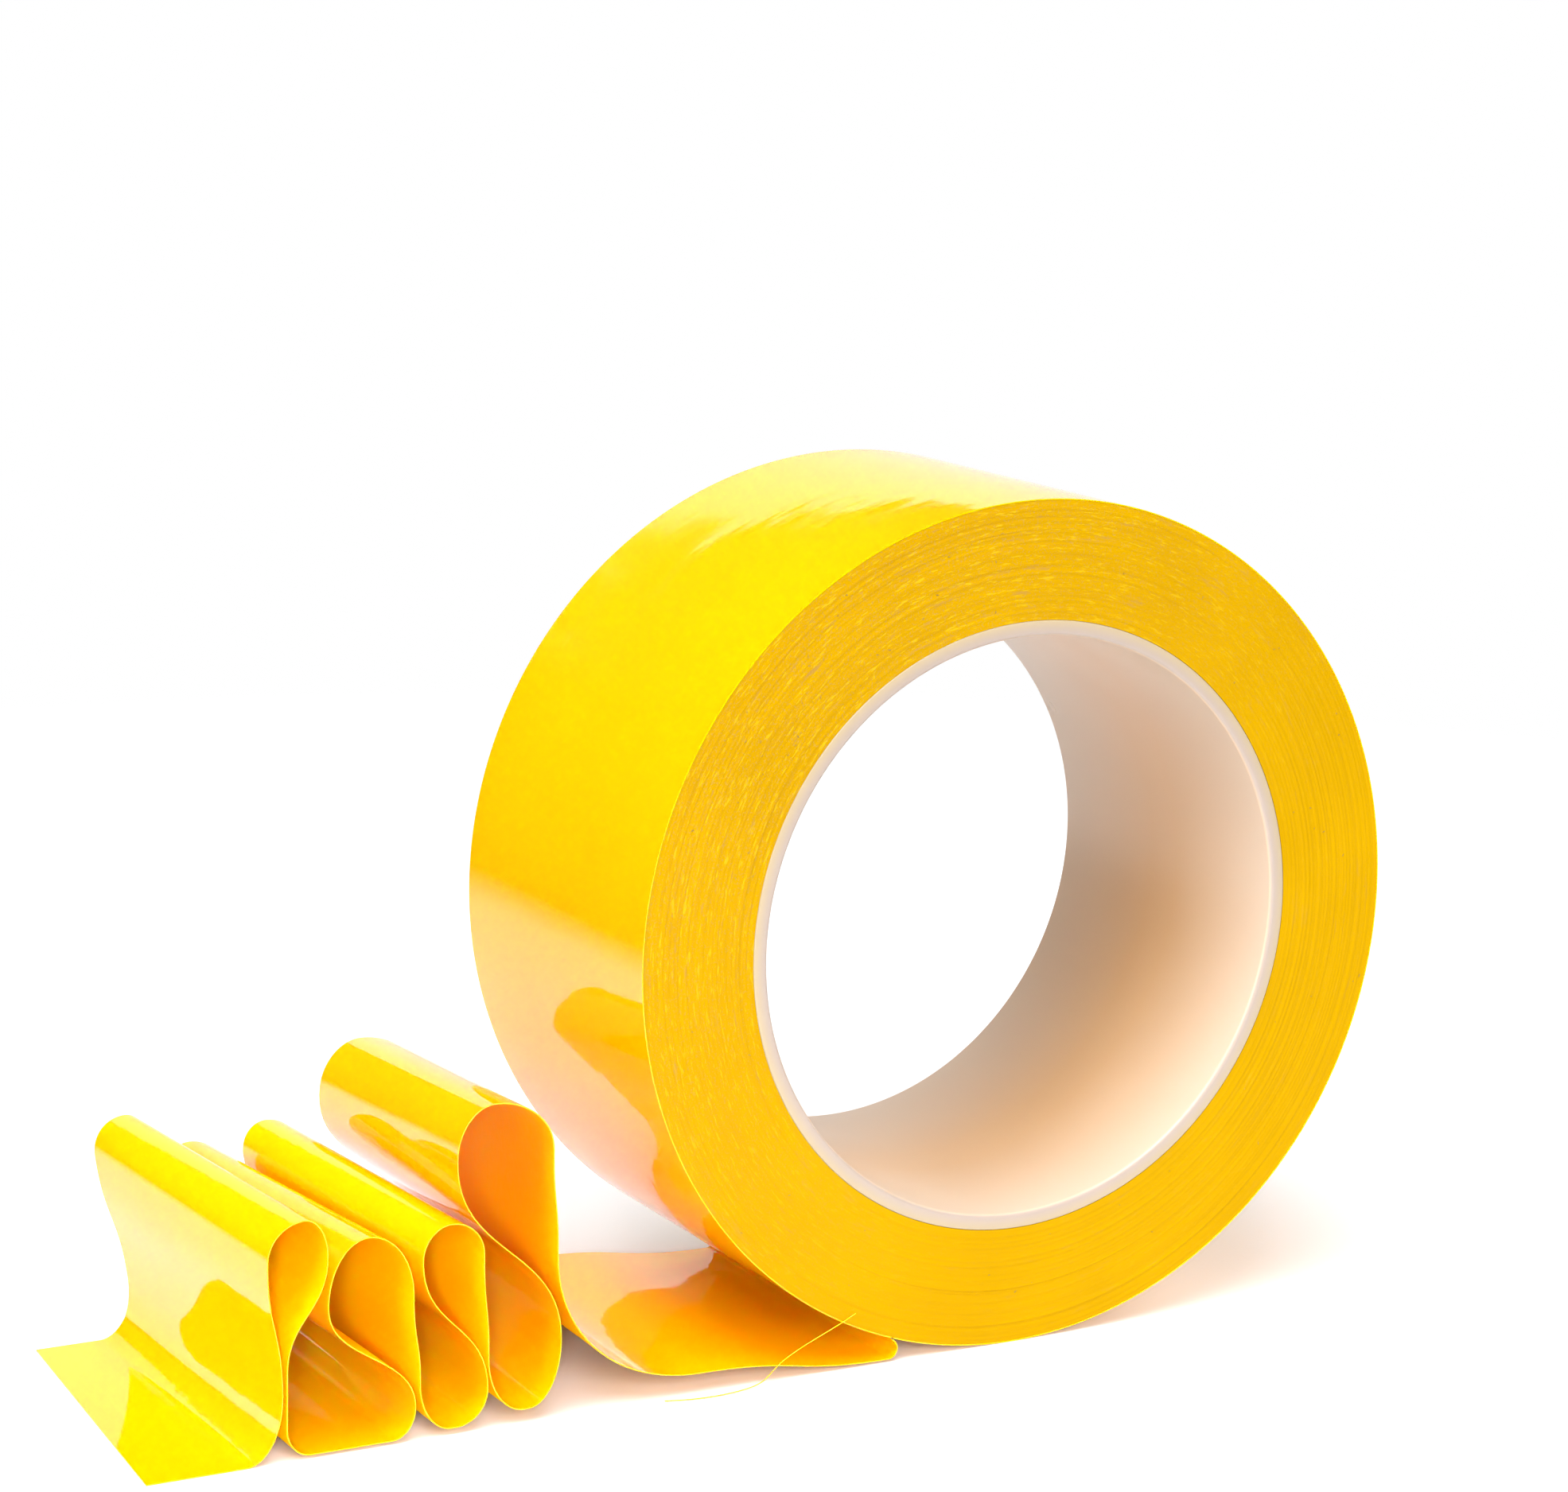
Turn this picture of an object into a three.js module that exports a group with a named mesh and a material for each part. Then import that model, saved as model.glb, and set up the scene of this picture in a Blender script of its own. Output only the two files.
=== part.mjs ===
// A roll of glossy film tape standing on its rim, with its loose end peeled back under the roll,
// led along the floor, folded into four standing loops and ended in a flat tail.
//
// Millimetres, +Z up. The origin is on the floor under the roll's axis. The roll's axis runs along Y,
// and the loose tape runs out towards -X.

import * as THREE from 'three';

// ---------------------------------------------------------------- driving dimensions

const tapeWidth = 50;
const filmThickness = 0.15;
const rollDiameter = 111.3;
const coreBore = 76.2;
const coreWall = 2;
const coreEdgeChamfer = 0.5;
const seatGap = 0.1; // between one turn or sleeve and the next
const runGap = 0.1; // between the turning roll and the fold under it
const cutGap = 0.3; // between two stretches of the one tape
const rollFacets = 120;

const foldRadius = 1.3; // middle of the film in the peel fold
const foldLift = 0.4; // middle of the film above the floor, under the fold

const stripLength = 27.2; // from the fold's lowest line to where the strip starts to rise
const stripRise = 2.7; // height of the film's middle at that place
const tailLength = 15;
const tailCutSkew = 4; // how much further out the near corner of the cut end is than the far one

// The loops, numbered from the free end. Every length is to the middle of the film.
//   height, width      top of the crest, and the belly's widest span
//   bellyHeight        where the belly is widest
//   lean               from the neck to the middle of the belly
//   crestShift         from the middle of the belly to the top of the crest
//   riseNeck           height of the pinch on the wall nearer the tail
//   fallNeck, fallRun  top and length of the pinch on the wall nearer the roll
//   neckOverlap        how far the second wall leans out over the first
//   foot, footFlat     the trough on the roll side: neck to neck, and its flat bottom
//   footLift           height of the trough's bottom
//   bellyGap           least distance along the floor from this belly to the next, below 0 where they nest
//   farLean, farHeight at the far edge: lean per height, and height against the near edge
const loops = [
  {
    height: 29.8, width: 7.7, bellyHeight: 25, lean: 1.9, crestShift: 0.9,
    riseNeck: 8, fallNeck: 11, fallRun: 7, neckOverlap: 0,
    foot: 16.7, footFlat: 10.5, footLift: 0.5, bellyGap: 0,
    farLean: -0.14, farHeight: 1,
  },
  {
    height: 26.6, width: 11.1, bellyHeight: 18.5, lean: -5.9, crestShift: -0.4,
    riseNeck: 4.3, fallNeck: 7, fallRun: 0, neckOverlap: 0,
    foot: 9, footFlat: 0.6, footLift: 0.9, bellyGap: 0.6,
    farLean: -0.14, farHeight: 0.94,
  },
  {
    height: 26.8, width: 8.1, bellyHeight: 22.5, lean: -4.7, crestShift: -0.3,
    riseNeck: 5.2, fallNeck: 9, fallRun: 0, neckOverlap: 0.5,
    foot: 9.3, footFlat: 0.6, footLift: 1.8, bellyGap: -3.8,
    farLean: -0.15, farHeight: 1,
  },
  {
    height: 41.2, width: 12.9, bellyHeight: 34.5, lean: -7.8, crestShift: -1.5,
    riseNeck: 10, fallNeck: 21, fallRun: 0, neckOverlap: 1.2,
    foot: 0, footFlat: 0, footLift: 0, bellyGap: 0,
    farLean: 0.105, farHeight: 0.875,
  },
];
const lastBend = 19.2; // from the fourth loop's neck to the start of the strip
const wallGap = 0.45; // between two walls of film that nearly touch at a neck
const tailBend = 2.2; // the bend from the tail up into the first loop

// ---------------------------------------------------------------- derived places

const rollRadius = rollDiameter / 2;
const facetAngle = (2 * Math.PI) / rollFacets;
const axisHeight = rollRadius * Math.cos(facetAngle / 2); // the lowest facet lies on the floor
const coreRadius = coreBore / 2 + coreWall;
const packInside = coreRadius + seatGap;
const packOutside = rollRadius - filmThickness - seatGap;
const nearFace = -tapeWidth / 2;
const neckStep = wallGap + filmThickness; // middle to middle of two walls at a neck

// The fold is a circle that comes up to the outer turn from below.
const foldHeight = foldLift + foldRadius;
const foldFromAxis = rollRadius + runGap + filmThickness / 2 + foldRadius;
const foldX = -Math.sqrt(foldFromAxis ** 2 - (axisHeight - foldHeight) ** 2);
const towardsAxis = Math.atan2(axisHeight - foldHeight, -foldX); // from the fold's middle
const peelAngle = towardsAxis + Math.PI; // the peel line, seen from the roll's axis

// ---------------------------------------------------------------- materials

function plastic(color, roughness) {
  return new THREE.MeshStandardMaterial({ color, roughness, metalness: 0 });
}

const filmColour = 0xffc400;
const filmRoughness = 0.2;
const packRoughness = 0.3;
const corePlasticColour = 0xf2e6d6;
const coreRoughness = 0.35;

// ---------------------------------------------------------------- shapes

const object = new THREE.Group();

function add(name, geometry, material) {
  const mesh = new THREE.Mesh(geometry, material);
  mesh.name = name;
  object.add(mesh);
  return mesh;
}

// A closed profile of [radius, place along the axis] turned about the roll's axis.
function turned(profile) {
  const points = profile.map(([radius, along]) => new THREE.Vector2(radius, along));
  points.push(points[0].clone());
  const geometry = new THREE.LatheGeometry(points, rollFacets, facetAngle / 2);
  geometry.translate(0, 0, axisHeight);
  return geometry;
}

// An outline in the XZ plane, carried across the tape's width.
function acrossWidth(outline) {
  const shape = new THREE.Shape(outline);
  const geometry = new THREE.ExtrudeGeometry(shape, { depth: tapeWidth, bevelEnabled: false, steps: 1 });
  geometry.rotateX(Math.PI / 2);
  geometry.translate(0, tapeWidth / 2, 0);
  return geometry;
}

// The two faces of the film, half its thickness to each side of a line of places.
function filmOutline(line) {
  const left = [];
  const right = [];
  line.forEach((place, i) => {
    const before = line[Math.max(i - 1, 0)];
    const after = line[Math.min(i + 1, line.length - 1)];
    const along = after.clone().sub(before).normalize();
    const across = new THREE.Vector2(-along.y, along.x).multiplyScalar(filmThickness / 2);
    left.push(place.clone().add(across));
    right.push(place.clone().sub(across));
  });
  return [...right, ...left.reverse()];
}

// Cuts a length off the start and the end of a line of places, and drops a place that would be left
// closer to the cut than the film is thick.
function trimmed(line, fromStart, fromEnd) {
  const cutFront = (places, length) => {
    let left = length;
    let i = 0;
    while (left >= places[i].distanceTo(places[i + 1])) {
      left -= places[i].distanceTo(places[i + 1]);
      i += 1;
    }
    const step = places[i].distanceTo(places[i + 1]);
    const kept = step - left < filmThickness ? i + 2 : i + 1;
    return [places[i].clone().lerp(places[i + 1], left / step), ...places.slice(kept)];
  };
  const shorter = cutFront(line, fromStart).reverse();
  return cutFront(shorter, fromEnd).reverse();
}

// A smooth line through stations, each [x, z, heading], where heading is the angle that the film
// runs at. Between two level or two upright stations it is an S, otherwise a quarter of an ellipse.
const arcReach = 0.552;
const slopeReach = 0.5;
const lastBendReach = 0.62;
const stepsPerStretch = 8;

function throughStations(stations) {
  const line = [];
  stations.slice(1).forEach((end, i) => {
    const start = stations[i];
    const from = new THREE.Vector2(start.x, start.z);
    const to = new THREE.Vector2(end.x, end.z);
    const span = to.clone().sub(from);
    const straight = span.x === 0 || span.y === 0;
    const leave = new THREE.Vector2(Math.cos(start.heading), Math.sin(start.heading));
    const arrive = new THREE.Vector2(Math.cos(end.heading), Math.sin(end.heading));
    const sameWay = Math.abs(leave.dot(arrive)) > 0.5;
    const reach = sameWay ? slopeReach : arcReach;
    const outward = leave.multiplyScalar(Math.abs(span.dot(leave)) * reach);
    const inward = arrive.multiplyScalar(Math.abs(span.dot(arrive)) * (end.reachIn ?? reach));
    const curve = new THREE.CubicBezierCurve(from, from.clone().add(outward), to.clone().sub(inward), to);
    const places = curve.getSpacedPoints(straight ? 1 : stepsPerStretch);
    line.push(...(i === 0 ? places : places.slice(1)));
  });
  return line;
}

const level = 0;
const up = Math.PI / 2;
const down = -Math.PI / 2;

// ---------------------------------------------------------------- the roll

add('core', turned([
  [coreBore / 2, -tapeWidth / 2 + coreEdgeChamfer],
  [coreBore / 2 + coreEdgeChamfer, -tapeWidth / 2],
  [coreRadius, -tapeWidth / 2],
  [coreRadius, tapeWidth / 2],
  [coreBore / 2 + coreEdgeChamfer, tapeWidth / 2],
  [coreBore / 2, tapeWidth / 2 - coreEdgeChamfer],
]), plastic(corePlasticColour, coreRoughness));

add('wound_turns', turned([
  [packInside, -tapeWidth / 2],
  [packOutside, -tapeWidth / 2],
  [packOutside, tapeWidth / 2],
  [packInside, tapeWidth / 2],
]), plastic(filmColour, packRoughness));

function onRoll(radius, angle) {
  return new THREE.Vector2(radius * Math.cos(angle), axisHeight + radius * Math.sin(angle));
}

// The outer turn goes once round, clockwise as seen from the near side, from just past the peel line
// to just short of it.
function outerTurnOutline() {
  const bottom = -Math.PI / 2;
  const start = peelAngle - cutGap / rollRadius;
  const finish = peelAngle - 2 * Math.PI + cutGap / rollRadius;
  const angles = [start];
  for (let k = 0; k < rollFacets; k += 1) {
    const vertex = bottom + facetAngle / 2 - k * facetAngle;
    const turnsBack = Math.floor((start - vertex) / (2 * Math.PI));
    angles.push(vertex + turnsBack * 2 * Math.PI);
  }
  angles.push(finish);
  const inOrder = angles.filter((a) => a <= start && a >= finish).sort((a, b) => b - a);
  const outside = inOrder.map((angle) => onRoll(rollRadius, angle));
  const inside = inOrder.map((angle) => onRoll(rollRadius - filmThickness, angle));
  return [...outside, ...inside.reverse()];
}

add('outer_turn', acrossWidth(outerTurnOutline()), plastic(filmColour, filmRoughness));

// ---------------------------------------------------------------- the loose tape, from the roll outwards

// The fold, from its lowest line up to the peel line.
const foldSteps = 14;
const foldLine = [];
for (let k = 0; k <= foldSteps; k += 1) {
  const angle = -Math.PI / 2 + ((towardsAxis + Math.PI / 2) * k) / foldSteps;
  foldLine.push(new THREE.Vector2(
    foldX + foldRadius * Math.cos(angle),
    foldHeight + foldRadius * Math.sin(angle),
  ));
}
const foldOutline = filmOutline(trimmed(foldLine, 0, cutGap));
add('peel_fold', acrossWidth(foldOutline), plastic(filmColour, filmRoughness));

const stripStart = foldX - stripLength;
const stripLine = throughStations([
  { x: stripStart, z: stripRise, heading: level },
  { x: foldX, z: foldLift, heading: level },
]);
const stripOutline = filmOutline(trimmed(stripLine, cutGap / 2, cutGap));
add('lead_strip', acrossWidth(stripOutline), plastic(filmColour, filmRoughness));

// The loops are placed one after another, each neck a wall's gap from the next.
function loopStations(loop, neckX, start, end) {
  const bellyX = neckX + loop.lean;
  const fallX = fallingNeckX(loop, neckX);
  const half = loop.width / 2;
  const stations = [
    start,
    { x: neckX, z: loop.riseNeck, heading: up },
    { x: bellyX - half, z: loop.bellyHeight, heading: up },
    { x: bellyX + loop.crestShift, z: loop.height, heading: level },
    { x: bellyX + half, z: loop.bellyHeight, heading: down },
    { x: fallX, z: loop.fallNeck, heading: down },
  ];
  if (loop.fallRun > 0) {
    stations.push({ x: fallX, z: loop.fallNeck - loop.fallRun, heading: down });
  }
  return [...stations, end];
}

function fallingNeckX(loop, neckX) {
  return neckX + neckStep - loop.neckOverlap;
}

// Moves the far edge of a loop, more the higher it is, so that the loop leans across its width.
function leanAcross(geometry, loop) {
  const places = geometry.getAttribute('position');
  for (let i = 0; i < places.count; i += 1) {
    const share = (places.getY(i) - nearFace) / tapeWidth;
    const height = Math.max(places.getZ(i) - stripRise, 0);
    places.setX(i, places.getX(i) + share * height * loop.farLean);
    places.setZ(i, places.getZ(i) + share * height * (loop.farHeight - 1));
  }
  return geometry;
}

// From the roll outwards: the last loop's second wall comes down to the strip, so its neck is one
// broad bend away from where the strip starts. Each loop before it stands a trough further out, or
// further still where its belly would meet the next one.
const lastLoop = loops.length - 1;
const necks = [];
necks[lastLoop] = stripStart - lastBend - neckStep;
for (let i = lastLoop - 1; i >= 0; i -= 1) {
  const loop = loops[i];
  const next = loops[i + 1];
  const byTrough = necks[i + 1] - loop.foot - neckStep;
  const nextBelly = necks[i + 1] + next.lean - next.width / 2;
  const byBelly = nextBelly - loop.bellyGap - loop.width / 2 - loop.lean;
  necks[i] = Math.min(byTrough, byBelly);
}

// Half of the flat bottom of the trough after a loop, and the reach of its two bends.
function trough(i) {
  const bend = (loops[i].foot - loops[i].footFlat) / 2;
  const wholeFoot = necks[i + 1] - necks[i] - neckStep;
  return { bend, halfFlat: wholeFoot / 2 - bend };
}

const tailBendX = necks[0] - tailBend;
const filmOnFloor = filmThickness / 2;

function loopStart(i) {
  if (i === 0) {
    return [new THREE.Vector2(tailBendX, filmOnFloor), 0];
  }
  const { bend, halfFlat } = trough(i - 1);
  return [new THREE.Vector2(necks[i] - bend, loops[i - 1].footLift), halfFlat];
}

function loopEnd(i) {
  if (i === lastLoop) {
    return [new THREE.Vector2(stripStart, stripRise), 0];
  }
  const { bend, halfFlat } = trough(i);
  return [new THREE.Vector2(necks[i] + neckStep + bend, loops[i].footLift), halfFlat];
}

loops.forEach((loop, i) => {
  const [start, flatBefore] = loopStart(i);
  const [end, flatAfter] = loopEnd(i);
  const arriving = i === lastLoop ? lastBendReach : arcReach;
  const line = throughStations(loopStations(
    loop,
    necks[i],
    { x: start.x, z: start.y, heading: level },
    { x: end.x, z: end.y, heading: level, reachIn: arriving },
  ));
  if (flatBefore > 0) {
    line.unshift(new THREE.Vector2(start.x - flatBefore, start.y));
  }
  if (flatAfter > 0) {
    line.push(new THREE.Vector2(end.x + flatAfter, end.y));
  }
  const cut = trimmed(line, cutGap / 2, cutGap / 2);
  add(`loop_${i + 1}`, leanAcross(acrossWidth(filmOutline(cut)), loop), plastic(filmColour, filmRoughness));
});

const tailEndX = tailBendX - tailLength;
const tailOutline = [
  new THREE.Vector2(tailEndX, 0),
  new THREE.Vector2(tailBendX - cutGap, 0),
  new THREE.Vector2(tailBendX - cutGap, filmThickness),
  new THREE.Vector2(tailEndX, filmThickness),
];

// The cut end runs a little askew.
function skewCut(geometry) {
  const places = geometry.getAttribute('position');
  for (let i = 0; i < places.count; i += 1) {
    const share = (places.getY(i) - nearFace) / tapeWidth;
    if (places.getX(i) < tailEndX + tailCutSkew / 2) {
      places.setX(i, places.getX(i) + share * tailCutSkew);
    }
  }
  return geometry;
}

add('tail_end', skewCut(acrossWidth(tailOutline)), plastic(filmColour, filmRoughness));

export default object;
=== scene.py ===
# %% [markdown]
# # A roll of glossy yellow film tape with its loose end folded into loops
# The roll stands on its rim on a pale table. Its last turn is peeled back under the roll in a tight fold,
# led along the table, folded into four standing loops and ended in a flat tail.
# The frame comes from the engineering model: what turns, what slides, and where each stretch of tape lies.
# Every visible piece here is made round that frame, so a change of size there is followed here.

# %% Load the frame
import math

import bpy
import numpy as np
from mathutils import Matrix, Vector


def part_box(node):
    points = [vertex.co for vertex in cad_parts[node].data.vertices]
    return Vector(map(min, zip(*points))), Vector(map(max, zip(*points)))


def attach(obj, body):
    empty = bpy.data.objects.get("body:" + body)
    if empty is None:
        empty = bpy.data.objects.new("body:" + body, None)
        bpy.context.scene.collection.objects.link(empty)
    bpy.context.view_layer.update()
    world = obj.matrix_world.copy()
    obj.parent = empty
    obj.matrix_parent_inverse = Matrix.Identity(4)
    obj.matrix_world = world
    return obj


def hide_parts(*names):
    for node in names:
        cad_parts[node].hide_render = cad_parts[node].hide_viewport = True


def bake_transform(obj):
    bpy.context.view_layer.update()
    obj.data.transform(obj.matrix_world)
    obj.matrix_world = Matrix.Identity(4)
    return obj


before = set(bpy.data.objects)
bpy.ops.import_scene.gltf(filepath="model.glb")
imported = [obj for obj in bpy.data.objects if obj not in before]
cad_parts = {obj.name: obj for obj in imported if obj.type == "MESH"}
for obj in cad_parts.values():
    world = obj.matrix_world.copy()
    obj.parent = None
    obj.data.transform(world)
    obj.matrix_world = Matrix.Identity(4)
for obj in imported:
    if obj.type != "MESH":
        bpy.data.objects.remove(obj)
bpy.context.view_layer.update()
MM = 0.001  # Blender works in metres, and a tape is thought of in millimetres.


# %% Put a thing into the scene
def placed(name, data):
    """A mesh, curve, lamp or camera is only data until an object in the scene holds it."""
    thing = bpy.data.objects.new(name, data)
    bpy.context.scene.collection.objects.link(thing)
    return thing


# %% [markdown]
# ## Sizes
# A size that is typed twice will one day differ, so the main ones are read from the frame. The roll's
# radius and width come from the outer turn's box, the axis and the core from the core's box, the fold's
# place from its own box, and the film's thickness from the flat tail.

# %% Sizes read from the frame
turn_low, turn_high = (Vector(corner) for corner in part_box("outer_turn"))
core_low, core_high = (Vector(corner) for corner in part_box("core"))
fold_low, fold_high = (Vector(corner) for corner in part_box("peel_fold"))
tail_low, tail_high = (Vector(corner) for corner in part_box("tail_end"))

WIDTH = turn_high.y - turn_low.y
RADIUS = (turn_high.x - turn_low.x) / 2
AXIS_Z = (core_low.z + core_high.z) / 2
CORE_RADIUS = (core_high.x - core_low.x) / 2
CORE_WALL = 2.0 * MM
FILM = tail_high.z - tail_low.z
NEAR_Y = turn_low.y
print(f"roll radius {RADIUS / MM:.1f} mm, width {WIDTH / MM:.1f} mm, film {FILM / MM:.2f} mm")

# %% [markdown]
# ## Camera
# The camera stands low and to the left, so that the near face of the roll, the bore and the four loops all
# show. A long lens from half a metre away keeps the far edges from shrinking. A wide lens from close by
# would show the same pieces with a bulging roll. The camera is turned a little about its own line of sight.

# %% Camera
camera_data = bpy.data.cameras.new("camera")
camera_data.lens = 96.85  # focal length in millimetres
camera_data.sensor_width = 36.0
camera = placed("camera", camera_data)
camera.location = (-0.2860, -0.4680, 0.1843)
aim = Vector((-0.0153, 0.0128, 0.0736))
camera_roll = math.radians(1.475)
look = (aim - camera.location).to_track_quat("-Z", "Y")
camera.rotation_euler = (look.to_matrix() @ Matrix.Rotation(camera_roll, 3, "Z")).to_euler()
bpy.context.scene.camera = camera

# %% [markdown]
# ## Studio
# Large soft lamps stand overhead, in front, to the left and behind to the right. A small one with a
# narrow spread shines into the loops. One sun lamp would be simpler, but its shadows would be hard. Gloss
# shows what is round it, so the middle of the film stays a clean, deep yellow only while the room between
# the pale board above and the pale floor below is dark. For that reason three of the lamps are kept out
# of the gloss and light only the colours.

# %% Studio
def soft_light(name, place, target, size, power, in_gloss=True, spread=180.0):
    """An oblong lamp of the given size in metres and power in watts, turned towards target."""
    data = bpy.data.lights.new(name, "AREA")
    data.shape = "RECTANGLE"
    data.spread = math.radians(spread)
    data.size, data.size_y = size
    data.energy = power
    light = placed(name, data)
    light.location = place
    light.rotation_euler = (Vector(target) - Vector(place)).to_track_quat("-Z", "Y").to_euler()
    light.visible_camera = False
    light.visible_glossy = in_gloss
    return light


ROLL_MIDDLE = (0.0, 0.0, 0.05)
LOOPS_MIDDLE = (-0.095, 0.0, 0.02)
soft_light("overhead_softbox", (-0.35, -0.35, 1.15), ROLL_MIDDLE, (1.0, 1.0), 23.0)
soft_light("front_fill", (-0.30, -1.15, 0.40), ROLL_MIDDLE, (0.8, 0.6), 22.0, in_gloss=False)
soft_light("left_fill", (-1.20, -0.25, 0.55), ROLL_MIDDLE, (0.6, 0.6), 7.0)
soft_light("back_fill", (0.75, 0.95, 0.55), ROLL_MIDDLE, (0.8, 0.6), 15.0, in_gloss=False)
soft_light("loop_fill", (-0.40, -0.62, 0.20), LOOPS_MIDDLE, (0.06, 0.06), 0.017, in_gloss=False, spread=14.0)

# %% [markdown]
# ## Room
# What the camera sees behind the object is plain white. What lights the object and shows in its gloss is
# nearly black. A Light Path node tells the two apart, which a single background colour couldn't do.

# %% Room
ROOM_GLOW = 0.02
world = bpy.data.worlds.new("pale_room")
bpy.context.scene.world = world
world.use_nodes = True
room = world.node_tree
room.nodes.clear()
seen = room.nodes.new("ShaderNodeLightPath")
white_view = room.nodes.new("ShaderNodeBackground")
white_view.inputs["Color"].default_value = (1.0, 1.0, 1.0, 1.0)
white_view.inputs["Strength"].default_value = 1.0
dim_room = room.nodes.new("ShaderNodeBackground")
dim_room.inputs["Color"].default_value = (1.0, 0.98, 0.96, 1.0)
dim_room.inputs["Strength"].default_value = ROOM_GLOW
either = room.nodes.new("ShaderNodeMixShader")
world_out = room.nodes.new("ShaderNodeOutputWorld")
room.links.new(seen.outputs["Is Camera Ray"], either.inputs["Fac"])
room.links.new(dim_room.outputs["Background"], either.inputs[1])
room.links.new(white_view.outputs["Background"], either.inputs[2])
room.links.new(either.outputs["Shader"], world_out.inputs["Surface"])
bpy.context.scene.view_settings.view_transform = "Standard"

# %% [markdown]
# ## White board
# The pale band along the top of the roll is a white board that stands behind it. Its outline is what the
# gloss shows: tall on the right, and a high narrow arm on the left, so that the film's middle stays deep
# yellow. A real board would need lamps of its own, so this one glows gently, and the camera doesn't see it.

# %% White board
BOARD_Y = 1.20
BOARD_GLOW = 1.0
board_outline = [(0.10, -0.10), (1.35, -0.10), (1.35, 0.20), (0.95, 0.44), (0.60, 0.58), (0.42, 0.69),
                 (0.25, 0.75), (0.05, 0.75), (-0.18, 0.71), (-0.42, 0.58), (-0.50, 0.46), (-0.36, 0.48),
                 (-0.14, 0.53), (0.10, 0.50)]
board_mesh = bpy.data.meshes.new("white_board")
board_mesh.from_pydata([(x, BOARD_Y, z) for x, z in board_outline], [], [tuple(range(len(board_outline)))])
board = placed("white_board", board_mesh)
board.visible_camera = False
glow = bpy.data.materials.new("glowing_board")
glow.use_nodes = True
glow_shader = glow.node_tree.nodes["Principled BSDF"]
glow_shader.inputs["Base Color"].default_value = (0.0, 0.0, 0.0, 1.0)
glow_shader.inputs["Emission Color"].default_value = (1.0, 0.98, 0.97, 1.0)
glow_shader.inputs["Emission Strength"].default_value = BOARD_GLOW
board_mesh.materials.append(glow)

# %% [markdown]
# ## Small helpers for materials
# Each finish is a network of nodes. These few functions add a node, feed its sockets and give back its
# output, so that a finish further down reads as a recipe and not as a list of links.

# %% Helpers for nodes
def put(tree, kind, **settings):
    """Adds a node and sets its own options."""
    node = tree.nodes.new(kind)
    for name, value in settings.items():
        setattr(node, name, value)
    return node


def feed(tree, target, value):
    """Sets a socket to a plain value, or links another node's output to it."""
    if isinstance(value, bpy.types.NodeSocket):
        tree.links.new(value, target)
    else:
        target.default_value = value


def calc(tree, operation, a, b=0.0, c=0.0):
    """One Math node, given numbers or other nodes' outputs."""
    node = put(tree, "ShaderNodeMath", operation=operation)
    for socket, value in zip(node.inputs, (a, b, c)):
        feed(tree, socket, value)
    return node.outputs[0]


def blend_colours(tree, share, low, high):
    node = put(tree, "ShaderNodeMix", data_type="RGBA")
    feed(tree, node.inputs["Factor"], share)
    feed(tree, node.inputs["A"], low)
    feed(tree, node.inputs["B"], high)
    return node.outputs["Result"]


# %% Helpers for masks and patterns
def between(tree, value, low, high, to_low=0.0, to_high=1.0):
    """Stretches a value from one range to another and stops at its ends."""
    node = put(tree, "ShaderNodeMapRange")
    for name, setting in (("Value", value), ("From Min", low), ("From Max", high),
                          ("To Min", to_low), ("To Max", to_high)):
        feed(tree, node.inputs[name], setting)
    return node.outputs["Result"]


def noise(tree, place, scale, detail=3.0, roughness=0.5, stretch=(1.0, 1.0, 1.0)):
    """Soft noise. The Mapping node draws it out along one axis where stretch says so."""
    mapping = put(tree, "ShaderNodeMapping")
    feed(tree, mapping.inputs["Vector"], place)
    mapping.inputs["Scale"].default_value = stretch
    texture = put(tree, "ShaderNodeTexNoise")
    feed(tree, texture.inputs["Vector"], mapping.outputs["Vector"])
    texture.inputs["Scale"].default_value = scale
    texture.inputs["Detail"].default_value = detail
    texture.inputs["Roughness"].default_value = roughness
    return texture.outputs["Fac"]


# %% Helpers for a whole finish
def new_finish(name):
    material = bpy.data.materials.new(name)
    material.use_nodes = True
    tree = material.node_tree
    shader = tree.nodes["Principled BSDF"]
    return material, tree, shader


def add_bump(tree, shader, height, distance, strength=1.0):
    bump = put(tree, "ShaderNodeBump")
    bump.inputs["Strength"].default_value = strength
    bump.inputs["Distance"].default_value = distance
    feed(tree, bump.inputs["Height"], height)
    tree.links.new(bump.outputs["Normal"], shader.inputs["Normal"])


def object_place(tree):
    """The point's place on its own piece, which stays the same however the piece moves."""
    return put(tree, "ShaderNodeTexCoord").outputs["Object"]


def ring_places(tree, place):
    """The sideways and upward distance from the roll's axis, and the plain distance from it."""
    apart = put(tree, "ShaderNodeSeparateXYZ")
    feed(tree, apart.inputs["Vector"], place)
    sideways = apart.outputs["X"]
    above = calc(tree, "SUBTRACT", apart.outputs["Z"], AXIS_Z)
    squares = calc(tree, "ADD", calc(tree, "POWER", sideways, 2.0), calc(tree, "POWER", above, 2.0))
    return sideways, apart.outputs["Y"], above, calc(tree, "SQRT", squares)


# %% [markdown]
# ## Shared effect: slow drift
# No plastic is one tone all over. This group gives a soft mask that wanders over some centimetres. The
# film, the pack and the core all use it with their own scale, so it is built once as a node group with
# named inputs. A copy of the nodes in each finish would look the same and be harder to change.

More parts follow.
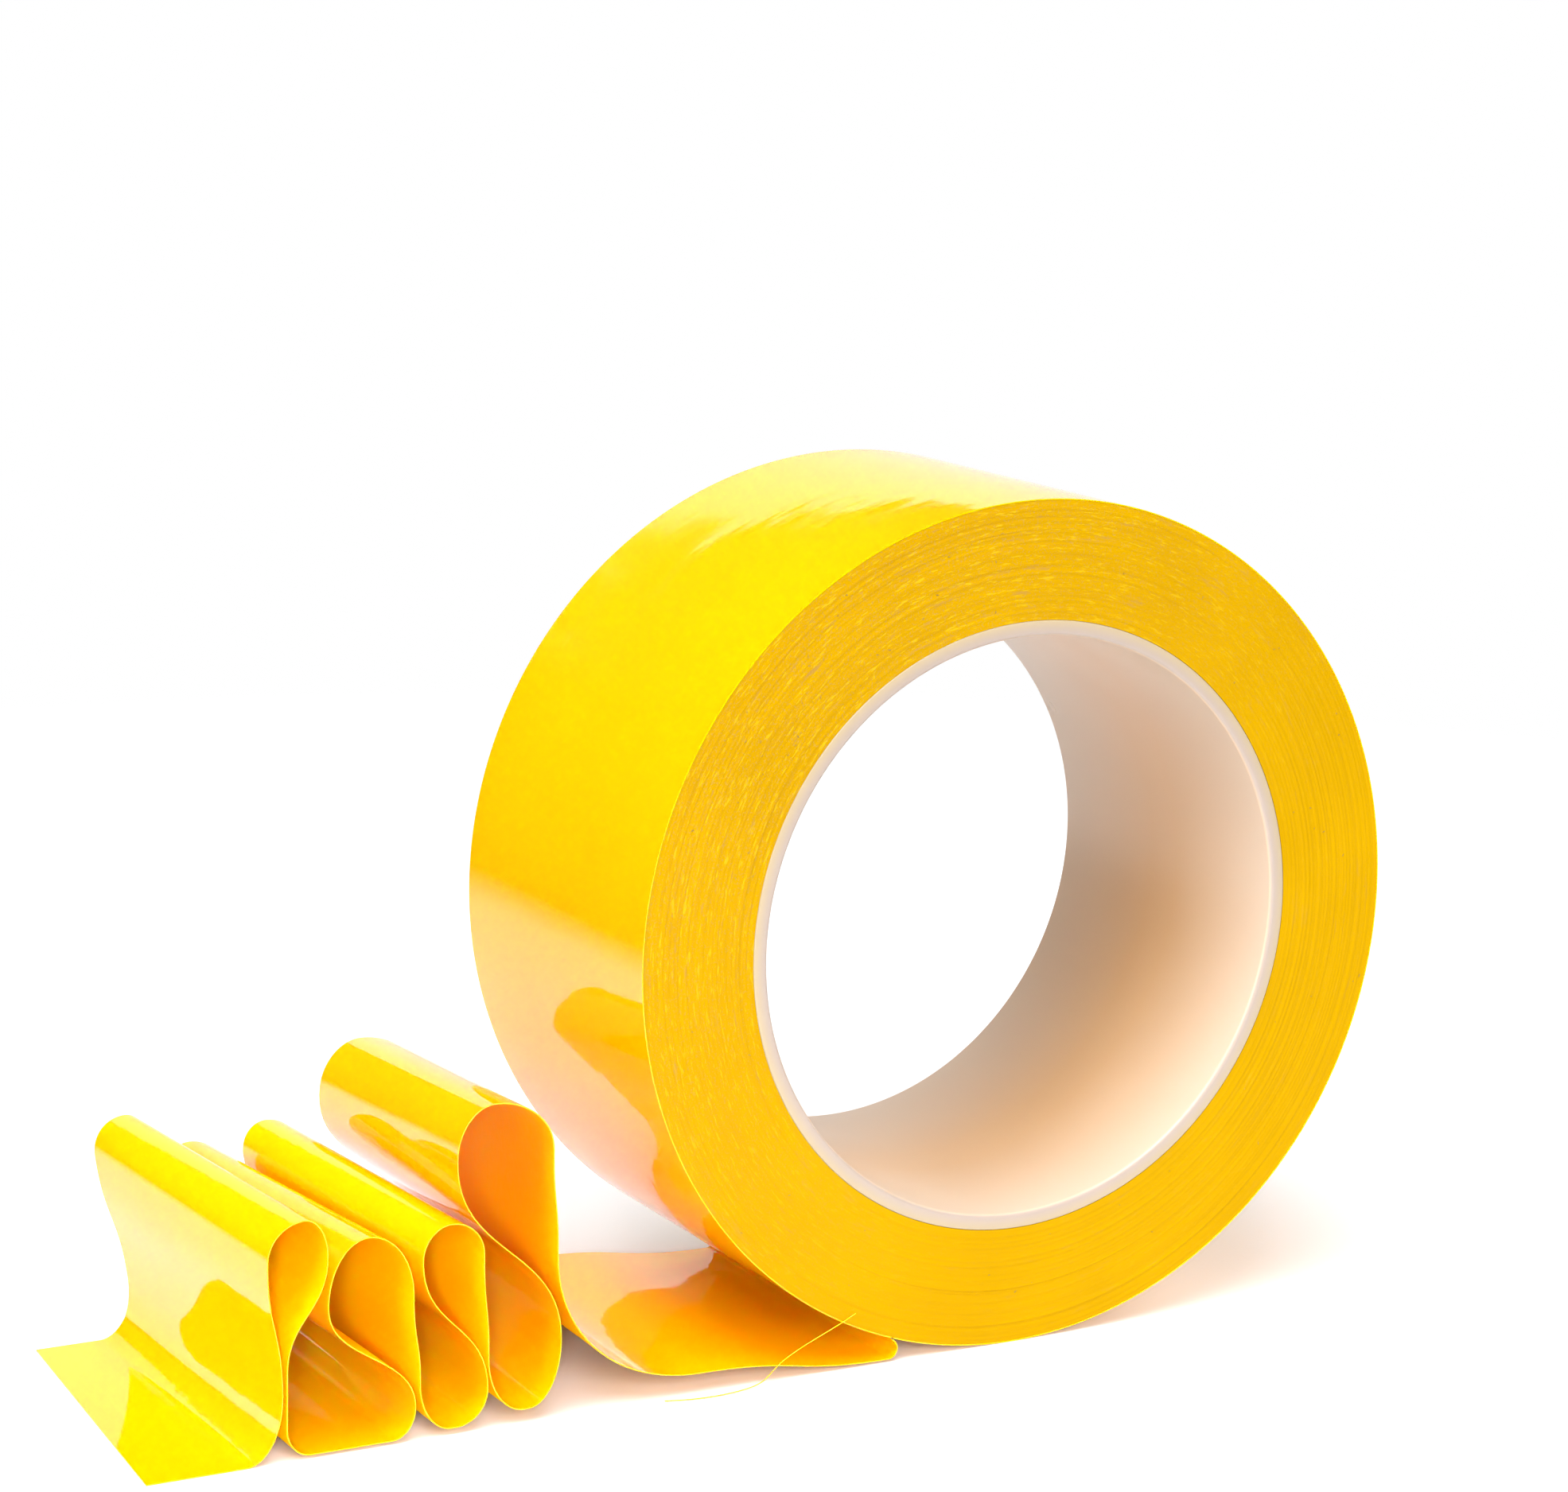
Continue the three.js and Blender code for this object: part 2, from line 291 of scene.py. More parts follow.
# %% Slow drift group
def make_drift_group():
    group = bpy.data.node_groups.new("slow_drift", "ShaderNodeTree")
    group.interface.new_socket("Place", in_out="INPUT", socket_type="NodeSocketVector")
    scale = group.interface.new_socket("Scale", in_out="INPUT", socket_type="NodeSocketFloat")
    scale.default_value = 40.0
    group.interface.new_socket("Mask", in_out="OUTPUT", socket_type="NodeSocketFloat")
    inside = group.nodes.new("NodeGroupInput")
    outside = group.nodes.new("NodeGroupOutput")
    texture = put(group, "ShaderNodeTexNoise")
    texture.inputs["Detail"].default_value = 2.0
    group.links.new(inside.outputs["Place"], texture.inputs["Vector"])
    group.links.new(inside.outputs["Scale"], texture.inputs["Scale"])
    mask = between(group, texture.outputs["Fac"], 0.32, 0.68)
    group.links.new(mask, outside.inputs["Mask"])
    return group


DRIFT = make_drift_group()


def drift(tree, place, scale):
    node = put(tree, "ShaderNodeGroup", node_tree=DRIFT)
    feed(tree, node.inputs["Place"], place)
    node.inputs["Scale"].default_value = scale
    return node.outputs["Mask"]


# %% [markdown]
# ## Film, backing side
# The backing is smooth, glossy vinyl. Its yellow drifts very slightly, and long shallow waves and dents
# run across it where the turns pull unevenly: they are what breaks the edge of a reflection. Light goes
# into film this thin and comes out again redder, so subsurface scattering is used with a red radius far
# longer than the green. Plain paint of the same yellow would leave the loops' insides dull and green.

# %% Film, backing side
SOAK_RADIUS = (1.0, 0.16, 0.01)
SOAK_DEPTH = 0.5 * MM
FILM_WAVE = 0.10 * MM


def film_finish(name, colour, deeper, roughness, ior, specular):
    material, tree, shader = new_finish(name)
    place = object_place(tree)
    feed(tree, shader.inputs["Base Color"], blend_colours(tree, drift(tree, place, 28.0), deeper, colour))
    fine = noise(tree, place, 900.0, detail=2.0)
    feed(tree, shader.inputs["Roughness"], between(tree, fine, 0.0, 1.0, roughness * 0.7, roughness * 1.3))
    shader.inputs["IOR"].default_value = ior
    shader.inputs["Specular IOR Level"].default_value = specular
    shader.inputs["Subsurface Weight"].default_value = 1.0
    shader.inputs["Subsurface Radius"].default_value = SOAK_RADIUS
    shader.inputs["Subsurface Scale"].default_value = SOAK_DEPTH
    broad = noise(tree, place, 26.0, detail=2.0)
    dents = noise(tree, place, 190.0, detail=2.0, stretch=(0.3, 1.0, 0.3))
    patches = between(tree, noise(tree, place, 45.0), 0.42, 0.62, 0.08, 0.55)
    add_bump(tree, shader, calc(tree, "ADD", broad, calc(tree, "MULTIPLY", dents, patches)), FILM_WAVE)
    return material


YELLOW = (1.0, 0.475, 0.0, 1.0)
DEEP_YELLOW = (1.0, 0.455, 0.0, 1.0)
film_backing = film_finish("film_backing", YELLOW, DEEP_YELLOW, roughness=0.06, ior=1.53, specular=0.5)
print("finish", film_backing.name)

# %% [markdown]
# ## Film, adhesive side
# The other side of the same film carries the glue. It is duller and a little more orange, and it is what
# shows inside the loops. The same recipe serves with a rougher, much weaker gloss.

# %% Film, adhesive side
GLUE_YELLOW = (1.0, 0.50, 0.0, 1.0)
DEEP_GLUE_YELLOW = (1.0, 0.47, 0.0, 1.0)
film_adhesive = film_finish("film_adhesive", GLUE_YELLOW, DEEP_GLUE_YELLOW,
                            roughness=0.55, ior=1.15, specular=0.2)
print("finish", film_adhesive.name)

# %% [markdown]
# ## Side of the wound turns
# The side of the pack is the cut edges of about a hundred turns: a satin, more orange yellow with fine
# rings, paler threads of glue, grit and brown smudges, most of them towards the upper left. All but the
# grit run along the turns, so their noise is read in ring coordinates: the distance from the axis counts
# in full, and the place round the axis counts for little, which draws each mark out into a short arc.

# %% Colours and ring coordinates for the side
PACK_DARK, PACK_LIGHT = (0.405, 0.222, 0.0, 1.0), (0.435, 0.242, 0.0, 1.0)
RING_BROWN = (0.35, 0.175, 0.006, 1.0)
GLUE_THREAD = (0.50, 0.33, 0.008, 1.0)
GRIT_BROWN = (0.36, 0.215, 0.04, 1.0)
SMUDGE_BROWN = (0.31, 0.175, 0.045, 1.0)


def along_turns(tree, sideways, above, from_axis, share):
    """Ring coordinates: marks come out 1 / share times longer along the turns than across them."""
    drawn_out = put(tree, "ShaderNodeCombineXYZ")
    feed(tree, drawn_out.inputs["X"], from_axis)
    feed(tree, drawn_out.inputs["Y"], calc(tree, "MULTIPLY", sideways, share))
    feed(tree, drawn_out.inputs["Z"], calc(tree, "MULTIPLY", above, share))
    return drawn_out.outputs["Vector"]


# %% Side of the wound turns
def pack_finish():
    material, tree, shader = new_finish("wound_edges")
    place = object_place(tree)
    sideways, _, above, from_axis = ring_places(tree, place)
    upper_left = between(tree, calc(tree, "SUBTRACT", above, sideways), -0.03, 0.06)

    def marks(pattern, low, high, elsewhere, most=1.0, strength=1.0):
        """A mask of the pattern's peaks: most in the upper left, and elsewhere in the rest."""
        peaks = between(tree, pattern, low, high)
        where = calc(tree, "MULTIPLY", peaks, between(tree, upper_left, 0.0, 1.0, elsewhere, most))
        return calc(tree, "MULTIPLY", where, strength)

    long_rings = along_turns(tree, sideways, above, from_axis, 0.045)
    short_arcs = along_turns(tree, sideways, above, from_axis, 0.16)
    rings = noise(tree, long_rings, 1500.0, detail=4.0, roughness=0.65)
    bands = noise(tree, long_rings, 420.0, detail=2.0)
    threads = noise(tree, short_arcs, 3200.0, detail=3.0, roughness=0.6)
    grit = noise(tree, place, 3400.0, detail=2.0, roughness=0.6)
    smudges = noise(tree, short_arcs, 1100.0, detail=4.0, roughness=0.7)

    colour = blend_colours(tree, drift(tree, place, 60.0), PACK_DARK, PACK_LIGHT)
    colour = blend_colours(tree, marks(rings, 0.35, 0.72, 0.35, strength=0.45), colour, RING_BROWN)
    colour = blend_colours(tree, marks(threads, 0.57, 0.66, 0.12, strength=0.8), colour, GLUE_THREAD)
    colour = blend_colours(tree, marks(grit, 0.54, 0.68, 0.1, most=0.75), colour, GRIT_BROWN)
    colour = blend_colours(tree, marks(smudges, 0.60, 0.72, 0.25, strength=0.7), colour, SMUDGE_BROWN)
    feed(tree, shader.inputs["Base Color"], colour)
    feed(tree, shader.inputs["Roughness"], between(tree, rings, 0.3, 0.7, 0.38, 0.52))
    shader.inputs["IOR"].default_value = 1.45
    shader.inputs["Specular IOR Level"].default_value = 0.02
    height = calc(tree, "ADD", rings, calc(tree, "MULTIPLY", bands, 1.4))
    add_bump(tree, shader, height, 0.05 * MM, 0.8)
    return material


wound_edges = pack_finish()
print("finish", wound_edges.name)

# %% [markdown]
# ## Core plastic
# The core is milky plastic. Light goes some way into it, so the tape round it warms the bore, most of all
# half-way in, and the end face turns yellow towards the tape. Scattering alone would need a solid of tape
# behind a clear wall to show that. Here the colour itself follows the depth and the distance from the axis.
# The tape's glow is painted into it, and so is shade: the bore is painted a darker tan deeper in and a paler
# cream near the mouth, and the end face has a painted yellow glow towards the tape.

# %% Core plastic
# Painted glow of the tape and painted shade: the bore's tan, darker deeper in. The end face's yellow by the
# tape is painted glow.
BORE_SHADE_GLOW_DARK, BORE_SHADE_GLOW_LIGHT = (0.59, 0.375, 0.20, 1.0), (0.62, 0.40, 0.22, 1.0)
MOUTH_CREAM = (0.60, 0.47, 0.355, 1.0)
END_GREY, END_TAPE_GLOW = (0.36, 0.295, 0.255, 1.0), (0.41, 0.32, 0.20, 1.0)


def core_finish():
    material, tree, shader = new_finish("milky_core")
    place = object_place(tree)
    _, along_axis, _, from_axis = ring_places(tree, place)
    depth = calc(tree, "ABSOLUTE", along_axis)
    # Painted shade: the bore is darker tan deeper in and paler cream towards the mouth.
    less_shade_near_mouth = between(tree, depth, WIDTH / 2 - 22.0 * MM, WIDTH / 2 - 1.0 * MM)
    on_end = between(tree, depth, WIDTH / 2 - 0.35 * MM, WIDTH / 2 - 0.1 * MM)
    # Painted glow of the tape: the end face turns yellow towards it.
    tape_glow_share = between(tree, from_axis, CORE_RADIUS - CORE_WALL + 0.5 * MM, CORE_RADIUS - 0.1 * MM)
    cloudy = blend_colours(tree, drift(tree, place, 35.0), BORE_SHADE_GLOW_DARK, BORE_SHADE_GLOW_LIGHT)
    wall = blend_colours(tree, less_shade_near_mouth, cloudy, MOUTH_CREAM)
    end_face = blend_colours(tree, tape_glow_share, END_GREY, END_TAPE_GLOW)
    feed(tree, shader.inputs["Base Color"], blend_colours(tree, on_end, wall, end_face))
    cloud = noise(tree, place, 60.0, detail=2.0)
    feed(tree, shader.inputs["Roughness"], between(tree, cloud, 0.0, 1.0, 0.24, 0.38))
    shader.inputs["Subsurface Weight"].default_value = 0.35
    shader.inputs["Subsurface Radius"].default_value = (1.0, 0.75, 0.5)
    shader.inputs["Subsurface Scale"].default_value = 2.0 * MM
    shader.inputs["IOR"].default_value = 1.49
    add_bump(tree, shader, cloud, 0.03 * MM)
    return material


milky_core = core_finish()
print("finish", milky_core.name)

# %% [markdown]
# ## Floor
# Pale paper with the faintest tooth. It reaches a hand's breadth past the object and then thins away into
# the white of the room, so no edge or horizon shows. A curved backdrop would hide the horizon too, but it
# would show in the gloss. What the paper reaches decides where its pale reflection in the film begins.

# %% Floor
PAPER_DARK, PAPER_LIGHT = (0.77, 0.77, 0.78, 1.0), (0.79, 0.79, 0.80, 1.0)
LEFT_SOLID, LEFT_END = -0.145, -0.195
PAPER_MIDDLE = (0.0, 0.02)
SOLID_REACH, FULL_REACH = 0.20, 0.42


def paper_finish():
    material, tree, shader = new_finish("pale_paper")
    place = object_place(tree)
    tone = noise(tree, place, 9.0, detail=2.0)
    feed(tree, shader.inputs["Base Color"], blend_colours(tree, tone, PAPER_DARK, PAPER_LIGHT))
    shader.inputs["Roughness"].default_value = 0.75
    add_bump(tree, shader, noise(tree, place, 900.0), 0.02 * MM)
    apart = put(tree, "ShaderNodeSeparateXYZ")
    feed(tree, apart.inputs["Vector"], place)
    across = calc(tree, "SUBTRACT", apart.outputs["X"], PAPER_MIDDLE[0])
    along = calc(tree, "SUBTRACT", apart.outputs["Y"], PAPER_MIDDLE[1])
    squares = calc(tree, "ADD", calc(tree, "POWER", across, 2.0), calc(tree, "POWER", along, 2.0))
    round_fade = between(tree, calc(tree, "SQRT", squares), SOLID_REACH, FULL_REACH, 1.0, 0.0)
    left_fade = between(tree, apart.outputs["X"], LEFT_END, LEFT_SOLID)
    feed(tree, shader.inputs["Alpha"], calc(tree, "MULTIPLY", round_fade, left_fade))
    return material


FLOOR_REACH = 1.6
FLOOR_Z = -0.02 * MM
floor_mesh = bpy.data.meshes.new("floor")
corners = [(-FLOOR_REACH, -FLOOR_REACH), (FLOOR_REACH, -FLOOR_REACH),
           (FLOOR_REACH, FLOOR_REACH), (-FLOOR_REACH, FLOOR_REACH)]
floor_mesh.from_pydata([(x, y, FLOOR_Z) for x, y in corners], [], [(0, 1, 2, 3)])
floor = placed("floor", floor_mesh)
floor_mesh.materials.append(paper_finish())
print("floor", FLOOR_REACH * 2, "m wide, solid to", SOLID_REACH, "m")

# %% [markdown]
# ## A section carried round an axis
# A turned piece is one flat section carried round an axis. Blender's Screw modifier does that too, but its
# seam then has to be merged. Here each step's points join the next step's, and the last join the first, so
# the ring is closed from the start. The second helper makes sure that faces point outwards: it adds up the
# signed volume of the triangles, which comes out negative on a mesh that is inside out.

# %% A section carried round the roll's axis
def carried_round(name, section, steps, finish):
    """section is a closed list of (radius, place along the axis), clockwise seen from the near side."""
    count = len(section)
    places = []
    for k in range(steps):
        angle = 2 * math.pi * k / steps
        for radius, along in section:
            places.append((radius * math.sin(angle), along, AXIS_Z + radius * math.cos(angle)))
    faces = []
    for k in range(steps):
        here, there = k * count, (k + 1) % steps * count
        for i in range(count):
            j = (i + 1) % count
            faces.append((here + i, here + j, there + j, there + i))
    mesh = bpy.data.meshes.new(name)
    mesh.from_pydata(places, [], faces)
    mesh.materials.append(finish)
    mesh.polygons.foreach_set("use_smooth", [True] * len(faces))
    return placed(name, mesh)


# %% Faces that point outwards
def facing_outwards(piece):
    """Turns the mesh the right way out if its volume comes out negative."""
    mesh = piece.data
    mesh.calc_loop_triangles()
    volume = 0.0
    for triangle in mesh.loop_triangles:
        a, b, c = (mesh.vertices[i].co for i in triangle.vertices)
        volume += a.dot(b.cross(c))
    if volume < 0:
        mesh.flip_normals()
    return piece


# %% [markdown]
# ## Core
# The core is the moulded plastic sleeve that the tape is wound on, open right through. A tube with a Bevel
# modifier could make it. Its section is just as quick to draw, as four quarter rounds, and then the bore's
# two rims can be rounder than the outer ones. The near rim catches the light as a thin bright ring.

# %% Core
CORE_STEPS = 256
BORE_EDGE = 0.55 * MM
OUTER_EDGE = 0.15 * MM


def rounded_edge(centre_radius, centre_along, size, start, end, steps=5):
    """Points of a quarter round, from one angle to another in degrees."""
    turns = [math.radians(start + (end - start) * k / steps) for k in range(steps + 1)]
    return [(centre_radius + size * math.cos(t), centre_along + size * math.sin(t)) for t in turns]


bore = CORE_RADIUS - CORE_WALL
half = WIDTH / 2
core_section = (
    rounded_edge(bore + BORE_EDGE, -half + BORE_EDGE, BORE_EDGE, 180, 270)
    + rounded_edge(CORE_RADIUS - OUTER_EDGE, -half + OUTER_EDGE, OUTER_EDGE, 270, 360, 3)
    + rounded_edge(CORE_RADIUS - OUTER_EDGE, half - OUTER_EDGE, OUTER_EDGE, 0, 90, 3)
    + rounded_edge(bore + BORE_EDGE, half - BORE_EDGE, BORE_EDGE, 90, 180)
)
core_sleeve = facing_outwards(carried_round("core_sleeve", core_section, CORE_STEPS, milky_core))
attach(core_sleeve, "roll")
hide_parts("core")
print("core sleeve", len(core_sleeve.data.polygons), "faces")

# %% [markdown]
# ## Wound turns
# The pack is about a hundred turns whose edges never line up quite true, so its side has shallow rings.
# A plain ring with bump would look alike from the front, but its outline would be too clean where light
# rakes across it. A node tree moves real edges instead: it lays a grid over the whole section, wraps it
# round the axis, and shifts each turn's edge a little along the axis. Two helpers come first, for what
# every node tree needs: named inputs, and an ending that leaves real mesh with a finish on it.

# %% The inputs and the ending of a node tree
def named_inputs(tree, rows):
    """Each row is an input's name, kind and starting value. Gives back the inputs inside the tree."""
    for name, kind, value in rows:
        socket = tree.interface.new_socket(name, in_out="INPUT", socket_type="NodeSocket" + kind)
        socket.default_value = value
    tree.interface.new_socket("Finish", in_out="INPUT", socket_type="NodeSocketMaterial")
    tree.interface.new_socket("Geometry", in_out="OUTPUT", socket_type="NodeSocketGeometry")
    return tree.nodes.new("NodeGroupInput").outputs


def realise_and_paint(tree, geometry, finish):
    realised = put(tree, "GeometryNodeRealizeInstances")
    tree.links.new(geometry, realised.inputs[0])
    painted = put(tree, "GeometryNodeSetMaterial")
    tree.links.new(realised.outputs[0], painted.inputs["Geometry"])
    tree.links.new(finish, painted.inputs["Material"])
    outside = tree.nodes.new("NodeGroupOutput")
    tree.links.new(painted.outputs[0], outside.inputs[0])


# %% [markdown]
# The grid's columns run round the section: out along the near side from the core, across the rim, back in
# along the far side, and back to where they began. Each side has one more column than it has turns.

# %% Which turn a column belongs to, and which side
def turn_and_side(tree, column, turns):
    """share runs from 0 at the core to 1 at the rim, and side is -1 near and 1 far."""
    rim = calc(tree, "ADD", turns, 0.5)
    from_rim = calc(tree, "ABSOLUTE", calc(tree, "SUBTRACT", column, rim))
    inwards = calc(tree, "DIVIDE", calc(tree, "SUBTRACT", from_rim, 0.5), turns)
    share = calc(tree, "MAXIMUM", calc(tree, "SUBTRACT", 1.0, inwards), 0.0)
    past_rim = calc(tree, "GREATER_THAN", column, rim)
    last_column = calc(tree, "ADD", calc(tree, "MULTIPLY", turns, 2.0), 1.5)
    far = calc(tree, "MULTIPLY", past_rim, calc(tree, "LESS_THAN", column, last_column))
    return share, calc(tree, "MULTIPLY_ADD", far, 2.0, -1.0)


# %% How far a turn's edge wanders
CHANGE_BY_TURN = 0.33
CHANGE_ROUND = 0.35
SIDES_APART = 7.0


def edge_wander(tree, inside, share, side, sine, cosine):
    """Noise that jumps from turn to turn, changes slowly round each, and is held still at core and rim."""
    place = put(tree, "ShaderNodeCombineXYZ")
    per_turn = calc(tree, "MULTIPLY", inside["Turns"], CHANGE_BY_TURN)
    feed(tree, place.inputs["X"], calc(tree, "MULTIPLY", share, per_turn))
    feed(tree, place.inputs["Y"], calc(tree, "MULTIPLY", sine, CHANGE_ROUND))
    feed(tree, place.inputs["Z"], calc(tree, "MULTIPLY", cosine, CHANGE_ROUND))
    texture = put(tree, "ShaderNodeTexNoise", noise_dimensions="4D")
    feed(tree, texture.inputs["Vector"], place.outputs[0])
    feed(tree, texture.inputs["W"], calc(tree, "MULTIPLY_ADD", side, SIDES_APART, inside["Seed"]))
    texture.inputs["Scale"].default_value = 1.0
    texture.inputs["Detail"].default_value = 3.0
    texture.inputs["Roughness"].default_value = 0.6
    swing = calc(tree, "MULTIPLY", calc(tree, "SUBTRACT", texture.outputs[0], 0.5), inside["Wander"])
    hold = calc(tree, "MULTIPLY", between(tree, share, 0.0, 0.05), between(tree, share, 1.0, 0.97))
    return calc(tree, "MULTIPLY", swing, hold)


# %% Node tree for the wound turns
def make_wound_tree():
    tree = bpy.data.node_groups.new("wound_turns_tree", "GeometryNodeTree")
    inside = named_inputs(tree, [
        ("Inner Radius", "Float", 0.04), ("Outer Radius", "Float", 0.055), ("Width", "Float", 0.05),
        ("Axis Height", "Float", 0.055), ("Turns", "Int", 100), ("Steps Round", "Int", 240),
        ("Wander", "Float", 0.0001), ("Seed", "Float", 3.0),
    ])
    columns = calc(tree, "MULTIPLY_ADD", inside["Turns"], 2.0, 3.0)
    grid = put(tree, "GeometryNodeMeshGrid")
    feed(tree, grid.inputs["Vertices X"], columns)
    feed(tree, grid.inputs["Vertices Y"], calc(tree, "ADD", inside["Steps Round"], 1.0))
    apart = put(tree, "ShaderNodeSeparateXYZ")
    tree.links.new(put(tree, "GeometryNodeInputPosition").outputs[0], apart.inputs[0])

    last = calc(tree, "SUBTRACT", columns, 1.0)
    column = calc(tree, "ROUND", calc(tree, "MULTIPLY", calc(tree, "ADD", apart.outputs["X"], 0.5), last))
    share, side = turn_and_side(tree, column, inside["Turns"])
    span = calc(tree, "SUBTRACT", inside["Outer Radius"], inside["Inner Radius"])
    radius = calc(tree, "MULTIPLY_ADD", share, span, inside["Inner Radius"])
    angle = calc(tree, "MULTIPLY", calc(tree, "ADD", apart.outputs["Y"], 0.5), 2 * math.pi)
    sine, cosine = calc(tree, "SINE", angle), calc(tree, "COSINE", angle)
    half_width = calc(tree, "MULTIPLY", inside["Width"], 0.5)
    out_to = calc(tree, "ADD", half_width, edge_wander(tree, inside, share, side, sine, cosine))

    target = put(tree, "ShaderNodeCombineXYZ")
    feed(tree, target.inputs["X"], calc(tree, "MULTIPLY", radius, sine))
    feed(tree, target.inputs["Y"], calc(tree, "MULTIPLY", side, out_to))
    feed(tree, target.inputs["Z"], calc(tree, "MULTIPLY_ADD", radius, cosine, inside["Axis Height"]))
    moved = put(tree, "GeometryNodeSetPosition")
    tree.links.new(grid.outputs["Mesh"], moved.inputs["Geometry"])
    tree.links.new(target.outputs[0], moved.inputs["Position"])
    merged = put(tree, "GeometryNodeMergeByDistance")
    merged.inputs["Distance"].default_value = 1e-6
    tree.links.new(moved.outputs[0], merged.inputs["Geometry"])
    smooth = put(tree, "GeometryNodeSetShadeSmooth")
    tree.links.new(merged.outputs[0], smooth.inputs["Geometry"])
    realise_and_paint(tree, smooth.outputs[0], inside["Finish"])
    return tree


# %% [markdown]
# ## From a node tree to a plain mesh
# A node tree works through a modifier. The modifier could stay on the piece, but a piece that rides a body
# needs a mesh that is settled. So the tree grows on an empty seedling, with each input set by its own
# identifier, the result is copied out as a plain mesh, and the seedling is thrown away.

# %% Grow a node tree into a plain mesh
SHARP_ANGLE = math.radians(40)


def grown(name, tree, values):
    """Runs a node tree with the given inputs and keeps its result as a plain mesh."""
    seedling = placed(name + "_seed", bpy.data.meshes.new(name + "_seed"))
    modifier = seedling.modifiers.new("grow", "NODES")
    modifier.node_group = tree
    for item in tree.interface.items_tree:
        if item.item_type == "SOCKET" and item.in_out == "INPUT" and item.name in values:
            modifier[item.identifier] = values[item.name]
    bpy.context.view_layer.update()
    ready = seedling.evaluated_get(bpy.context.evaluated_depsgraph_get())
    mesh = bpy.data.meshes.new_from_object(ready)
    mesh.name = name
    bpy.data.objects.remove(seedling)
    mesh.set_sharp_from_angle(angle=SHARP_ANGLE)
    return placed(name, mesh)


# %% [markdown]
# The pack sits between the core and the last turn, a hair's breadth clear of both. It has about as many
# turns as the film's thickness allows, and their edges wander by a tenth of a millimetre or so.

# %% Wound turns
TURNS = 104
wound_pack = facing_outwards(grown("wound_pack", make_wound_tree(), {
    "Inner Radius": CORE_RADIUS + 0.03 * MM,
    "Outer Radius": RADIUS - FILM - 0.02 * MM,
    "Width": WIDTH - 0.1 * MM,
    "Axis Height": AXIS_Z,
    "Turns": TURNS,
    "Steps Round": 240,
    "Wander": 0.35 * MM,
    "Seed": 3.0,
    "Finish": wound_edges,
}))
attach(wound_pack, "roll")
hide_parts("wound_turns")
print("wound pack", len(wound_pack.data.polygons), "faces")

# %% [markdown]
# ## Film as a sheet with two sides
# Film this thin could be a plane with a Solidify modifier. Making both sides by hand is as short, and lets
# each have its own finish. A stretch of film is one path seen from the side, carried across the tape's
# width and given its thickness: the backing lies to the left of the path's direction and the adhesive to
# the right. The path may differ at the near and the far edge, and the film runs straight between the two.

# %% Places of the film's two sides
def film_places(near_path, far_path, across):
    """Points of the backing and then of the adhesive side, in rows from the near edge to the far one."""
    share = np.linspace(0.0, 1.0, across + 1)[None, :, None]
    middle = near_path[:, None, :] * (1 - share) + far_path[:, None, :] * share
    along = np.gradient(middle, axis=0)
    along /= np.linalg.norm(along, axis=2, keepdims=True)
    left = np.stack([-along[..., 1], along[..., 0]], axis=2)
    y = NEAR_Y + WIDTH * share[..., 0]
    sides = []
    for half_step in (FILM / 2, -FILM / 2):
        flat = middle + left * half_step
        sides.append(np.stack([flat[..., 0], np.broadcast_to(y, flat.shape[:2]), flat[..., 1]], axis=2))
    return np.concatenate([side.reshape(-1, 3) for side in sides])


# %% Faces of the film's two sides and four edges
BACKING_SLOT, ADHESIVE_SLOT = 0, 1


def film_faces(rows, across):
    """The faces and the finish slot of each. Only the right-hand side carries the adhesive."""
    def at(i, j, under):
        return (under * rows + i) * (across + 1) + j

    faces, slots = [], []

    def add(face, slot, flip=False):
        faces.append(tuple(reversed(face)) if flip else tuple(face))
        slots.append(slot)

    for i in range(rows - 1):
        for j in range(across):
            add((at(i, j, 0), at(i, j + 1, 0), at(i + 1, j + 1, 0), at(i + 1, j, 0)), BACKING_SLOT)
            add((at(i, j, 1), at(i + 1, j, 1), at(i + 1, j + 1, 1), at(i, j + 1, 1)), ADHESIVE_SLOT)
        for j, flip in ((0, False), (across, True)):
            add((at(i, j, 0), at(i + 1, j, 0), at(i + 1, j, 1), at(i, j, 1)), BACKING_SLOT, flip)
    for j in range(across):
        for i, flip in ((0, True), (rows - 1, False)):
            add((at(i, j, 0), at(i, j + 1, 0), at(i, j + 1, 1), at(i, j, 1)), BACKING_SLOT, flip)
    return faces, slots


# %% Film made from a path
def film_piece(name, near_path, far_path, across):
    """near_path and far_path are (n, 2) arrays of x and z, with the same count."""
    faces, slots = film_faces(len(near_path), across)
    mesh = bpy.data.meshes.new(name)
    mesh.from_pydata(film_places(near_path, far_path, across).tolist(), [], faces)
    mesh.materials.append(film_backing)
    mesh.materials.append(film_adhesive)
    mesh.polygons.foreach_set("material_index", slots)
    mesh.polygons.foreach_set("use_smooth", [True] * len(faces))
    mesh.set_sharp_from_angle(angle=SHARP_ANGLE)
    return facing_outwards(placed(name, mesh))


# %% [markdown]
# ## Outer turn
# The last turn is what shows on the rim of the roll. It goes clockwise round the pack, from the line where
# the tape peels away back to the same line, with a hair's breadth between its ends. A plain cylinder would
# look the same, but would have no line for the fold to leave from and no adhesive side underneath.

# %% Outer turn
FOLD_RADIUS = 1.3 * MM
TURN_STEPS = 720
END_GAP = 0.006  # in radians
CLEARANCE = 0.01 * MM
fold_middle = Vector((fold_high.x - FILM / 2 - FOLD_RADIUS, 0.0, fold_low.z + FILM / 2 + FOLD_RADIUS))
to_axis = math.atan2(AXIS_Z - fold_middle.z, -fold_middle.x)
peel_angle = to_axis + math.pi


def round_roll(angle, radius):
    return (radius * math.cos(angle), AXIS_Z + radius * math.sin(angle))


